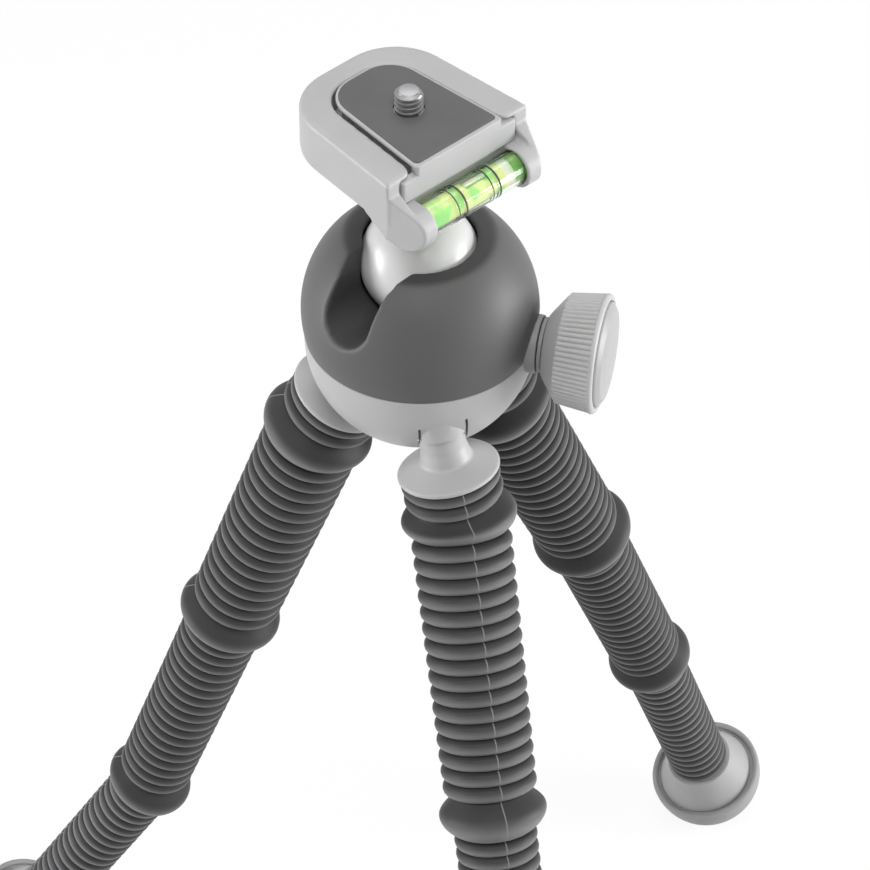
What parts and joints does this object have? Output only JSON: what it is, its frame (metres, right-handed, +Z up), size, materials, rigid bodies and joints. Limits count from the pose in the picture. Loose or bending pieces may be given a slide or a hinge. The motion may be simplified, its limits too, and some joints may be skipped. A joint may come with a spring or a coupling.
{
  "type": "flexible leg tripod",
  "caption": "Tabletop camera tripod with flexible ribbed rubber legs on round feet, a clamped ball head, and a quick release plate with screw and bubble level.",
  "frame": {"origin": "where the camera screw leaves the rubber pad of the plate", "axes": "+Z up along the camera screw, +X towards the bubble level, +Y completes the right hand frame"},
  "size_m": [0.2215, 0.1956, 0.3101],
  "materials": {
    "pale_plastic": "satin moulded plastic",
    "plate_rubber": "matte cork rubber",
    "steel": "bright turned steel",
    "level_glass": "clear acrylic tube",
    "level_fluid": "yellow green fluid",
    "level_plug": "green plug",
    "white_ball": "smooth white ball",
    "dome_grey": "soft touch dark grey",
    "black_acetal": "plain moulded",
    "bush_grey": "plain moulded",
    "knob_grey": "satin moulded plastic",
    "knob_cap": "satin moulded plastic",
    "link_black": "plain moulded",
    "sleeve_rubber": "matte rubber",
    "foot_grey": "satin moulded plastic",
    "foot_rubber": "matte rubber"
  },
  "bodies": {
    "base": {"socket_dome": "dome_grey", "base_cup": "pale_plastic", "shell_screws": "steel", "leg_screws": "steel", "knob_bush": "bush_grey", "leg_1_flange": "pale_plastic", "leg_2_flange": "pale_plastic", "leg_3_flange": "pale_plastic"},
    "seat": {"ball_seat": "black_acetal"},
    "knob_washer": {"thrust_washer": "steel"},
    "knob": {"knob_body": "knob_grey", "knob_cap": "knob_cap", "clamp_screw": "steel"},
    "ball": {"ball": "white_ball", "stem": "white_ball", "stem_screw": "steel"},
    "receiver": {"receiver": "pale_plastic", "level_tube": "level_glass", "level_fluid": "level_fluid", "level_plugs": "level_plug"},
    "plate": {"quick_plate": "pale_plastic", "plate_pad": "plate_rubber"},
    "camera_screw": {"camera_screw": "steel"},
    "leg_1_link_1": {"leg_1_link_1": "link_black", "leg_1_sleeve_upper": "sleeve_rubber"},
    "leg_1_link_2": {"leg_1_link_2": "link_black"},
    "leg_1_link_3": {"leg_1_link_3": "link_black", "leg_1_sleeve_middle": "sleeve_rubber"},
    "leg_1_link_4": {"leg_1_link_4": "link_black"},
    "leg_1_link_5": {"leg_1_link_5": "link_black", "leg_1_sleeve_lower": "sleeve_rubber"},
    "leg_1_foot": {"leg_1_foot_core": "foot_grey", "leg_1_foot_pad": "foot_rubber"},
    "leg_2_link_1": {"leg_2_link_1": "link_black", "leg_2_sleeve_upper": "sleeve_rubber"},
    "leg_2_link_2": {"leg_2_link_2": "link_black"},
    "leg_2_link_3": {"leg_2_link_3": "link_black", "leg_2_sleeve_middle": "sleeve_rubber"},
    "leg_2_link_4": {"leg_2_link_4": "link_black"},
    "leg_2_link_5": {"leg_2_link_5": "link_black", "leg_2_sleeve_lower": "sleeve_rubber"},
    "leg_2_foot": {"leg_2_foot_core": "foot_grey", "leg_2_foot_pad": "foot_rubber"},
    "leg_3_link_1": {"leg_3_link_1": "link_black", "leg_3_sleeve_upper": "sleeve_rubber"},
    "leg_3_link_2": {"leg_3_link_2": "link_black"},
    "leg_3_link_3": {"leg_3_link_3": "link_black", "leg_3_sleeve_middle": "sleeve_rubber"},
    "leg_3_link_4": {"leg_3_link_4": "link_black"},
    "leg_3_link_5": {"leg_3_link_5": "link_black", "leg_3_sleeve_lower": "sleeve_rubber"},
    "leg_3_foot": {"leg_3_foot_core": "foot_grey", "leg_3_foot_pad": "foot_rubber"}
  },
  "joints": [
    {"name": "knob_travel", "type": "slide", "parent": "base", "child": "knob_washer", "axis": [0.8396, 0.5432, 0], "range_m": [0, 0.0012]},
    {"name": "knob_turn", "type": "hinge", "parent": "knob_washer", "child": "knob", "pos_m": [0.02859, 0.0163, -0.0597], "axis": [0.8396, 0.5432, 0], "range_deg": [0, 540]},
    {"name": "seat_drop", "type": "slide", "parent": "base", "child": "seat", "axis": [0, 0, 1], "range_m": [-0.0006, 0]},
    {"name": "ball_tilt", "type": "hinge", "parent": "base", "child": "ball", "pos_m": [0.0034, 0, -0.0405], "axis": [0.9976, 0.0698, 0], "range_deg": [-35, 70]},
    {"name": "head_pan", "type": "hinge", "parent": "ball", "child": "receiver", "pos_m": [0.0034, 0, -0.014], "axis": [0, 0, 1], "continuous": true},
    {"name": "plate_slide", "type": "slide", "parent": "receiver", "child": "plate", "axis": [1, 0, 0], "range_m": [0, 0.036]},
    {"name": "camera_screw_turn", "type": "hinge", "parent": "plate", "child": "camera_screw", "pos_m": [0, 0, 0], "axis": [0, 0, 1], "continuous": true},
    {"name": "leg_1_bend_1", "type": "hinge", "parent": "base", "child": "leg_1_link_1", "pos_m": [0.03382, -0.01399, -0.11161], "axis": [-0.4635, -0.8859, 0.02], "range_deg": [-35, 35], "deforming": ["leg_1_sleeve_upper"]},
    {"name": "leg_1_sway_1", "type": "hinge", "parent": "leg_1_link_1", "child": "leg_1_link_2", "pos_m": [0.0485, -0.02237, -0.14283], "axis": [0.7838, -0.3994, 0.4756], "range_deg": [-35, 35], "deforming": ["leg_1_sleeve_upper"]},
    {"name": "leg_1_bend_2", "type": "hinge", "parent": "leg_1_link_2", "child": "leg_1_link_3", "pos_m": [0.06227, -0.02984, -0.17465], "axis": [0.454, 0.891, 0], "range_deg": [-35, 35], "deforming": ["leg_1_sleeve_middle"]},
    {"name": "leg_1_sway_2", "type": "hinge", "parent": "leg_1_link_3", "child": "leg_1_link_4", "pos_m": [0.07513, -0.0364, -0.20708], "axis": [-0.814, 0.4147, -0.4067], "range_deg": [-35, 35], "deforming": ["leg_1_sleeve_middle"]},
    {"name": "leg_1_bend_3", "type": "hinge", "parent": "leg_1_link_4", "child": "leg_1_link_5", "pos_m": [0.08682, -0.04236, -0.24004], "axis": [-0.454, -0.891, 0], "range_deg": [-35, 35], "deforming": ["leg_1_sleeve_lower"]},
    {"name": "leg_1_sway_3", "type": "hinge", "parent": "leg_1_link_5", "child": "leg_1_foot", "pos_m": [0.09734, -0.04772, -0.27352], "axis": [0.8403, -0.4282, 0.3325], "range_deg": [-35, 35], "deforming": ["leg_1_sleeve_lower"]},
    {"name": "leg_2_bend_1", "type": "hinge", "parent": "base", "child": "leg_2_link_1", "pos_m": [0.00236, 0.03227, -0.1119], "axis": [0.9989, 0.0433, 0.0189], "range_deg": [-35, 35], "deforming": ["leg_2_sleeve_upper"]},
    {"name": "leg_2_sway_1", "type": "hinge", "parent": "leg_2_link_1", "child": "leg_2_link_2", "pos_m": [0.0023, 0.04757, -0.14394], "axis": [-0.0472, 0.9013, 0.4305], "range_deg": [-35, 35], "deforming": ["leg_2_sleeve_upper"]},
    {"name": "leg_2_bend_2", "type": "hinge", "parent": "leg_2_link_2", "child": "leg_2_link_3", "pos_m": [0.00174, 0.06247, -0.17614], "axis": [-0.9984, -0.0559, 0.008], "range_deg": [-35, 35], "deforming": ["leg_2_sleeve_middle"]},
    {"name": "leg_2_sway_2", "type": "hinge", "parent": "leg_2_link_3", "child": "leg_2_link_4", "pos_m": [0.00067, 0.07699, -0.20852], "axis": [0.0477, -0.9109, -0.4099], "range_deg": [-35, 35], "deforming": ["leg_2_sleeve_middle"]},
    {"name": "leg_2_bend_3", "type": "hinge", "parent": "leg_2_link_4", "child": "leg_2_link_5", "pos_m": [-0.00038, 0.09105, -0.2411], "axis": [0.9984, 0.0557, -0.0081], "range_deg": [-35, 35], "deforming": ["leg_2_sleeve_lower"]},
    {"name": "leg_2_sway_3", "type": "hinge", "parent": "leg_2_link_5", "child": "leg_2_foot", "pos_m": [-0.0014, 0.10466, -0.27387], "axis": [-0.0483, 0.9219, 0.3843], "range_deg": [-35, 35], "deforming": ["leg_2_sleeve_lower"]},
    {"name": "leg_3_bend_1", "type": "hinge", "parent": "base", "child": "leg_3_link_1", "pos_m": [-0.02218, -0.01613, -0.11178], "axis": [-0.5381, 0.8426, 0.0214], "range_deg": [-35, 35], "deforming": ["leg_3_sleeve_upper"]},
    {"name": "leg_3_sway_1", "type": "hinge", "parent": "leg_3_link_1", "child": "leg_3_link_2", "pos_m": [-0.0326, -0.02194, -0.14522], "axis": [-0.7901, -0.5131, 0.3355], "range_deg": [-35, 35], "deforming": ["leg_3_sleeve_upper"]},
    {"name": "leg_3_bend_2", "type": "hinge", "parent": "leg_3_link_2", "child": "leg_3_link_3", "pos_m": [-0.04303, -0.02775, -0.17865], "axis": [0.5381, -0.8426, -0.0214], "range_deg": [-35, 35], "deforming": ["leg_3_sleeve_middle"]},
    {"name": "leg_3_sway_2", "type": "hinge", "parent": "leg_3_link_3", "child": "leg_3_link_4", "pos_m": [-0.05345, -0.03356, -0.21208], "axis": [0.7901, 0.5131, -0.3355], "range_deg": [-35, 35], "deforming": ["leg_3_sleeve_middle"]},
    {"name": "leg_3_bend_3", "type": "hinge", "parent": "leg_3_link_4", "child": "leg_3_link_5", "pos_m": [-0.06633, -0.04096, -0.24417], "axis": [-0.535, 0.8446, 0.0196], "range_deg": [-35, 35], "deforming": ["leg_3_sleeve_lower"]},
    {"name": "leg_3_sway_3", "type": "hinge", "parent": "leg_3_link_5", "child": "leg_3_foot", "pos_m": [-0.08166, -0.04996, -0.2749], "axis": [-0.7261, -0.4716, 0.5004], "range_deg": [-35, 35], "deforming": ["leg_3_sleeve_lower"]}
  ],
  "couplings": [
    {"joint": "knob_travel", "follows": "knob_turn", "m_per_rad": 0.00012732},
    {"joint": "seat_drop", "follows": "knob_turn", "m_per_rad": -0.000063662}
  ]
}
